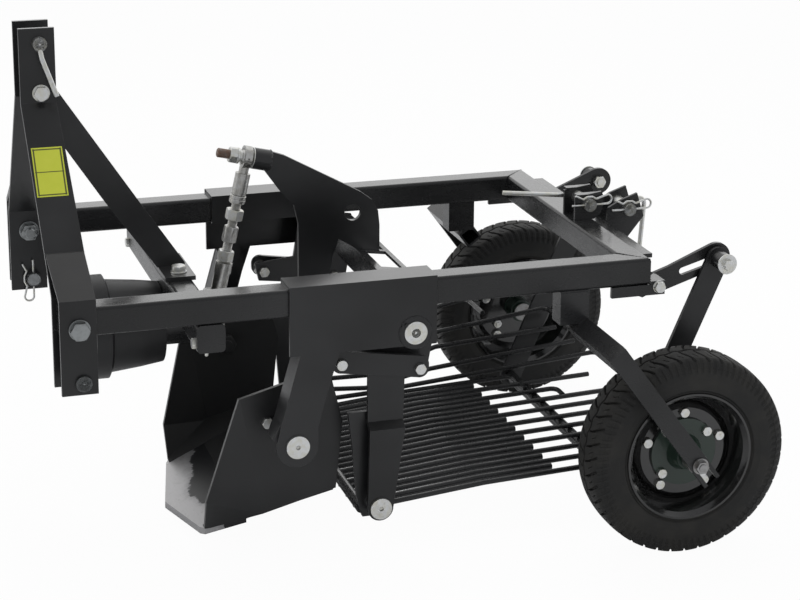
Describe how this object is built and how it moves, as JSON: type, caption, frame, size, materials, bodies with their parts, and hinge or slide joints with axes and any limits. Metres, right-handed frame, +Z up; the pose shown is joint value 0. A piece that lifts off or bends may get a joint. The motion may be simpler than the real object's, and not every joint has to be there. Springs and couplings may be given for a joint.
{
  "type": "potato digger",
  "caption": "Tractor-mounted vibrating potato digger: three-point hitch frame, share, rocking rod sieve and gauge wheels.",
  "frame": {"origin": "on the ground, below the middle of the machine's length and width", "axes": "+X points rearward, away from the tractor; +Y points to the side away from the picture's camera; +Z points up"},
  "size_m": [1.304, 1.058, 0.949],
  "materials": {
    "frame_paint": "satin",
    "mast_paint": "satin",
    "moving_paint": "satin",
    "rod_paint": "satin",
    "zinc": "satin",
    "rod_steel": "satin",
    "stud_steel": "matte",
    "spacer_paint": "satin",
    "blade_steel": "matte",
    "shield_plastic": "matte",
    "sticker_film": "gloss",
    "tyre_rubber": "matte",
    "rim_paint": "satin",
    "hub_paint": "satin"
  },
  "bodies": {
    "frame": {"left_rail": "frame_paint", "right_rail": "frame_paint", "rear_crossmember": "frame_paint", "front_crossmember": "frame_paint", "left_mast_leg": "mast_paint", "right_mast_leg": "mast_paint", "hitch_plates": "mast_paint", "hitch_bolts": "zinc", "lower_link_pins": "zinc", "spring_clips": "zinc", "mast_bolts": "zinc", "spacer_tubes": "spacer_paint", "mast_brace": "frame_paint", "frame_bolts": "zinc", "sticker": "sticker_film", "side_brackets": "frame_paint", "share_pivot_pins": "zinc", "share_blade": "blade_steel", "share_trough": "frame_paint", "share_bolts": "zinc", "drive_housing": "frame_paint", "pto_shield": "shield_plastic", "slotted_plates": "frame_paint", "rear_tabs": "frame_paint", "rear_lugs": "frame_paint", "parked_pins": "zinc", "wheel_carriers": "frame_paint", "axles": "zinc", "hanger_bolts": "zinc"},
    "top_link_pin": {"top_link_pin": "zinc"},
    "drive_shaft": {"drive_shaft": "rod_steel"},
    "rocker": {"rocker_crossbar": "moving_paint", "rocker_sides": "moving_paint", "rocker_pivot_pins": "zinc", "straps": "moving_paint", "swing_arms": "moving_paint", "strap_bolt_set": "zinc", "low_pivot_pins": "zinc", "lever_plate": "moving_paint", "lever_stud": "stud_steel", "rod_ball": "rod_steel"},
    "connecting_rod": {"rod_eye": "rod_steel", "turnbuckle": "zinc", "rod_nuts": "zinc", "rod_lower_end": "rod_steel"},
    "sieve": {"sieve_sides": "moving_paint", "sieve_cross_bars": "moving_paint", "sieve_floor_rods": "rod_paint", "sieve_short_rods": "rod_paint", "sieve_guard_rods": "rod_paint"},
    "hangers": {"hanger_arms": "moving_paint"},
    "left_wheel": {"left_tyre": "tyre_rubber", "left_rim": "rim_paint", "left_wheel_hub": "hub_paint", "left_wheel_bolts": "zinc"},
    "right_wheel": {"right_tyre": "tyre_rubber", "right_rim": "rim_paint", "right_wheel_hub": "hub_paint", "right_wheel_bolts": "zinc"}
  },
  "joints": [
    {"name": "rocker_swing", "type": "hinge", "parent": "frame", "child": "rocker", "pos_m": [-0.015, 0, 0.429], "axis": [0, 1, 0], "range_deg": [-1.65, 1.65]},
    {"name": "sieve_swing", "type": "hinge", "parent": "rocker", "child": "sieve", "pos_m": [-0.07, 0, 0.091], "axis": [0, 1, 0], "range_deg": [-2.1, 2.1]},
    {"name": "hanger_swing", "type": "hinge", "parent": "frame", "child": "hangers", "pos_m": [0.587, 0, 0.501], "axis": [0, 1, 0], "range_deg": [-1.45, 1.45]},
    {"name": "rod_swing", "type": "hinge", "parent": "rocker", "child": "connecting_rod", "pos_m": [-0.236, 0, 0.68], "axis": [0, 1, 0], "range_deg": [-0.35, 0.35]},
    {"name": "drive_spin", "type": "hinge", "parent": "frame", "child": "drive_shaft", "pos_m": [-0.305, 0, 0.377], "axis": [1, 0, 0], "continuous": true},
    {"name": "left_wheel_spin", "type": "hinge", "parent": "frame", "child": "left_wheel", "pos_m": [0.464, -0.43, 0.189], "axis": [0, 1, 0], "continuous": true},
    {"name": "right_wheel_spin", "type": "hinge", "parent": "frame", "child": "right_wheel", "pos_m": [0.464, 0.43, 0.189], "axis": [0, 1, 0], "continuous": true},
    {"name": "top_pin_turn", "type": "hinge", "parent": "frame", "child": "top_link_pin", "pos_m": [-0.615, 0, 0.922], "axis": [0, 1, 0], "range_deg": [-20, 200]}
  ],
  "couplings": [
    {"joint": "sieve_swing", "follows": "rocker_swing", "ratio": -1.1953},
    {"joint": "hanger_swing", "follows": "rocker_swing", "ratio": 0.80106},
    {"joint": "rod_swing", "follows": "rocker_swing", "ratio": -0.17162}
  ]
}
